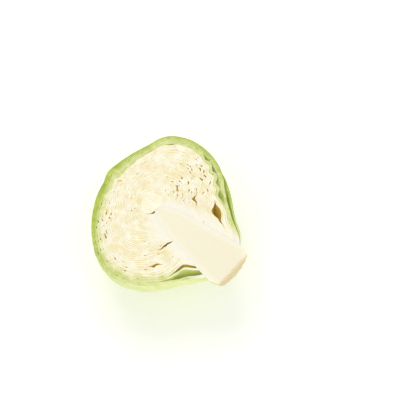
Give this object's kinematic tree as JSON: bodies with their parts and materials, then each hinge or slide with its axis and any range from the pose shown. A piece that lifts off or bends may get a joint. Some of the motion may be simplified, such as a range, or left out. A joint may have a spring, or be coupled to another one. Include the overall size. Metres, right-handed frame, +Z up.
{
  "type": "cabbage half",
  "caption": "Round green head cabbage cut lengthwise in half, lying on its back with the pale layered cut face, leaves and core showing.",
  "frame": {"origin": "the point of the flattened resting patch, under the outermost leaf, that lies straight below the heart of the head", "axes": "+Z up, out of the cut face; +X from the heart to the butt of the stem; +Y across the cut face"},
  "size_m": [0.1672, 0.1646, 0.0705],
  "materials": {
    "wrapper_leaf_skin": "waxy",
    "outer_leaf_flesh": "moist",
    "inner_leaf_flesh": "moist",
    "core_flesh": "moist",
    "heart_bud_flesh": "moist"
  },
  "bodies": {
    "root": {"core": "core_flesh", "heart_bud": "heart_bud_flesh", "inner_leaf_01": "inner_leaf_flesh", "inner_leaf_02": "inner_leaf_flesh", "inner_leaf_03": "inner_leaf_flesh", "inner_leaf_04": "inner_leaf_flesh", "inner_leaf_05": "inner_leaf_flesh", "inner_leaf_06": "inner_leaf_flesh", "inner_leaf_07": "inner_leaf_flesh", "inner_leaf_08": "inner_leaf_flesh", "inner_leaf_09": "inner_leaf_flesh", "inner_leaf_10": "inner_leaf_flesh", "inner_leaf_11": "inner_leaf_flesh", "inner_leaf_12": "inner_leaf_flesh", "inner_leaf_13": "inner_leaf_flesh", "inner_leaf_14": "inner_leaf_flesh", "inner_leaf_15": "inner_leaf_flesh", "inner_leaf_16": "inner_leaf_flesh", "inner_leaf_17": "inner_leaf_flesh", "outer_leaf_01": "outer_leaf_flesh", "outer_leaf_02": "outer_leaf_flesh", "outer_leaf_03": "outer_leaf_flesh", "outer_leaf_04": "outer_leaf_flesh", "outer_leaf_05": "outer_leaf_flesh", "outer_leaf_06": "outer_leaf_flesh", "outer_leaf_07": "outer_leaf_flesh", "outer_leaf_08": "outer_leaf_flesh", "outer_leaf_09": "outer_leaf_flesh", "outer_leaf_10": "outer_leaf_flesh", "outer_leaf_11": "outer_leaf_flesh", "outer_leaf_12": "outer_leaf_flesh", "wrapper_leaf_1": "wrapper_leaf_skin", "wrapper_leaf_2": "wrapper_leaf_skin", "wrapper_leaf_3": "wrapper_leaf_skin"}
  },
  "joints": []
}
